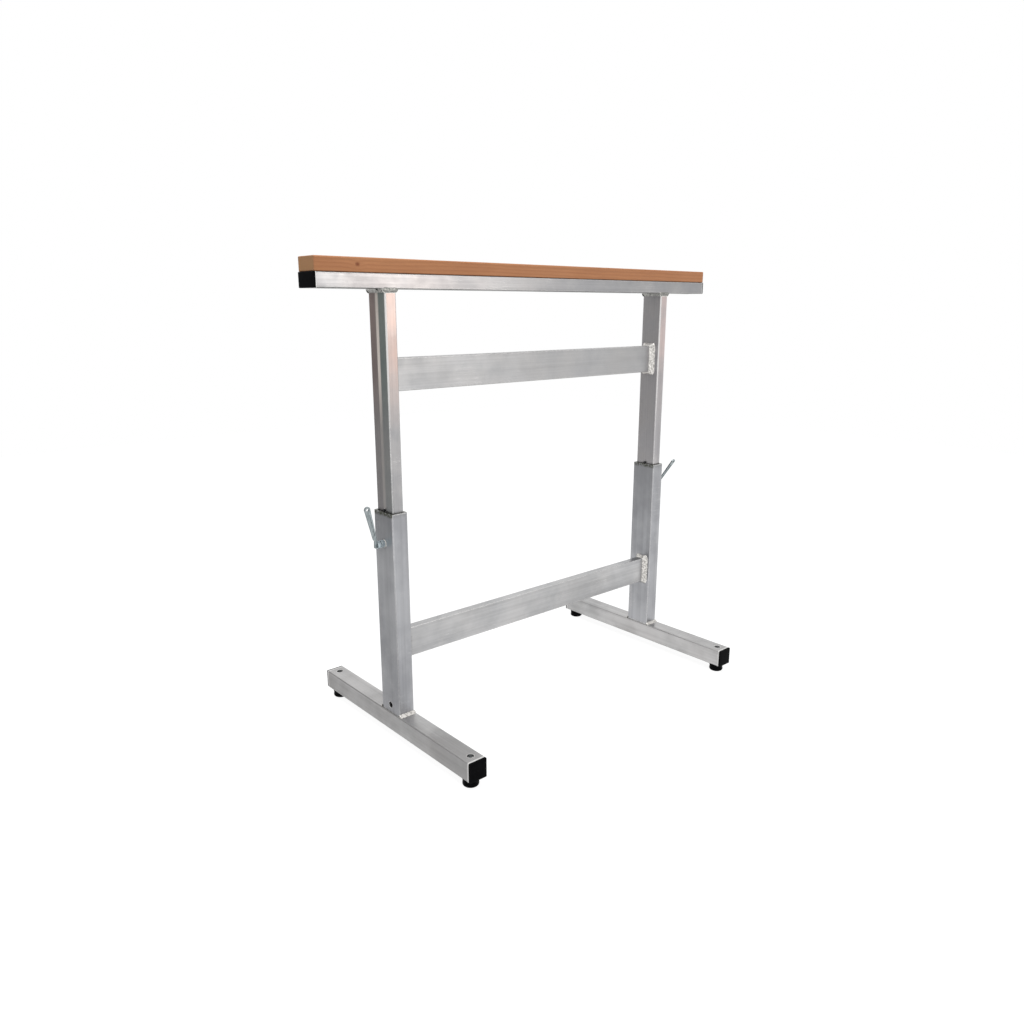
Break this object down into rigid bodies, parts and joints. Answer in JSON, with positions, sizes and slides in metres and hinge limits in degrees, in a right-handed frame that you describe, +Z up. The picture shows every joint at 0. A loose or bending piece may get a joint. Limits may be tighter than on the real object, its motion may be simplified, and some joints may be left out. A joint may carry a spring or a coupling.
{
  "type": "work platform bench",
  "caption": "Height-adjustable aluminium work bench: timber-topped beam on telescoping legs with lever clamps, rails, capped feet and screw levellers.",
  "frame": {"origin": "on the floor, midway between the two legs and midway between the feet's front and rear ends", "axes": "+X along the beam to the right as seen from the front, +Y to the rear, +Z up; front is -Y"},
  "size_m": [1, 0.497, 0.8885],
  "materials": {
    "timber": "planed softwood, bare, eased edges",
    "extrusion": "mill finish, faint die lines",
    "weld": "rippled weld bead",
    "zinc": "bright zinc plating",
    "dark_steel": "blackened spring steel",
    "black_plastic": "moulded, fine satin",
    "brass": "turned, bare"
  },
  "bodies": {
    "base": {"left_sleeve": "extrusion", "right_sleeve": "extrusion", "lower_rail": "extrusion", "left_foot_tube": "extrusion", "right_foot_tube": "extrusion", "left_front_foot_cap": "black_plastic", "left_rear_foot_cap": "black_plastic", "right_front_foot_cap": "black_plastic", "right_rear_foot_cap": "black_plastic", "left_front_insert": "zinc", "left_rear_insert": "zinc", "right_front_insert": "zinc", "right_rear_insert": "zinc", "left_clamp_nut": "zinc", "right_clamp_nut": "zinc", "base_welds": "weld"},
    "upper_frame": {"timber_batten": "timber", "batten_screws": "zinc", "beam_tube": "extrusion", "left_beam_cap": "black_plastic", "right_beam_cap": "black_plastic", "left_upright": "extrusion", "right_upright": "extrusion", "upper_rail": "extrusion", "left_glide": "black_plastic", "right_glide": "black_plastic", "left_stop_pin": "dark_steel", "right_stop_pin": "dark_steel", "frame_welds": "weld"},
    "left_clamp_slider": {"left_clamp_tip": "brass"},
    "left_clamp_handle": {"left_clamp_screw": "zinc", "left_clamp_lever": "zinc"},
    "right_clamp_slider": {"right_clamp_tip": "brass"},
    "right_clamp_handle": {"right_clamp_screw": "zinc", "right_clamp_lever": "zinc"},
    "left_front_leveller": {"left_front_pad": "black_plastic"},
    "left_front_leveller_stem": {"left_front_stem": "zinc"},
    "left_rear_leveller": {"left_rear_pad": "black_plastic"},
    "left_rear_leveller_stem": {"left_rear_stem": "zinc"},
    "right_front_leveller": {"right_front_pad": "black_plastic"},
    "right_front_leveller_stem": {"right_front_stem": "zinc"},
    "right_rear_leveller": {"right_rear_pad": "black_plastic"},
    "right_rear_leveller_stem": {"right_rear_stem": "zinc"}
  },
  "joints": [
    {"name": "height", "type": "slide", "parent": "base", "child": "upper_frame", "axis": [0, 0, 1], "range_m": [0, 0.23]},
    {"name": "left_clamp_travel", "type": "slide", "parent": "base", "child": "left_clamp_slider", "axis": [-1, 0, 0], "range_m": [0, 0.0019]},
    {"name": "left_clamp_turn", "type": "hinge", "parent": "left_clamp_slider", "child": "left_clamp_handle", "pos_m": [-0.3922, 0, 0.3935], "axis": [-1, 0, 0], "range_deg": [0, 540]},
    {"name": "right_clamp_travel", "type": "slide", "parent": "base", "child": "right_clamp_slider", "axis": [1, 0, 0], "range_m": [0, 0.0019]},
    {"name": "right_clamp_turn", "type": "hinge", "parent": "right_clamp_slider", "child": "right_clamp_handle", "pos_m": [0.3922, 0, 0.3935], "axis": [1, 0, 0], "range_deg": [0, 540]},
    {"name": "left_front_leveller_travel", "type": "slide", "parent": "base", "child": "left_front_leveller", "axis": [0, 0, -1], "range_m": [0, 0.0205]},
    {"name": "left_front_leveller_turn", "type": "hinge", "parent": "left_front_leveller", "child": "left_front_leveller_stem", "pos_m": [-0.36, -0.2265, 0.025], "axis": [0, 0, -1], "range_deg": [0, 4800]},
    {"name": "left_rear_leveller_travel", "type": "slide", "parent": "base", "child": "left_rear_leveller", "axis": [0, 0, -1], "range_m": [0, 0.0205]},
    {"name": "left_rear_leveller_turn", "type": "hinge", "parent": "left_rear_leveller", "child": "left_rear_leveller_stem", "pos_m": [-0.36, 0.2265, 0.025], "axis": [0, 0, -1], "range_deg": [0, 4800]},
    {"name": "right_front_leveller_travel", "type": "slide", "parent": "base", "child": "right_front_leveller", "axis": [0, 0, -1], "range_m": [0, 0.0205]},
    {"name": "right_front_leveller_turn", "type": "hinge", "parent": "right_front_leveller", "child": "right_front_leveller_stem", "pos_m": [0.36, -0.2265, 0.025], "axis": [0, 0, -1], "range_deg": [0, 4800]},
    {"name": "right_rear_leveller_travel", "type": "slide", "parent": "base", "child": "right_rear_leveller", "axis": [0, 0, -1], "range_m": [0, 0.0205]},
    {"name": "right_rear_leveller_turn", "type": "hinge", "parent": "right_rear_leveller", "child": "right_rear_leveller_stem", "pos_m": [0.36, 0.2265, 0.025], "axis": [0, 0, -1], "range_deg": [0, 4800]}
  ],
  "couplings": [
    {"joint": "left_clamp_travel", "follows": "left_clamp_turn", "m_per_rad": 0.00019894},
    {"joint": "right_clamp_travel", "follows": "right_clamp_turn", "m_per_rad": 0.00019894},
    {"joint": "left_front_leveller_travel", "follows": "left_front_leveller_turn", "m_per_rad": 0.00023873},
    {"joint": "left_rear_leveller_travel", "follows": "left_rear_leveller_turn", "m_per_rad": 0.00023873},
    {"joint": "right_front_leveller_travel", "follows": "right_front_leveller_turn", "m_per_rad": 0.00023873},
    {"joint": "right_rear_leveller_travel", "follows": "right_rear_leveller_turn", "m_per_rad": 0.00023873}
  ]
}
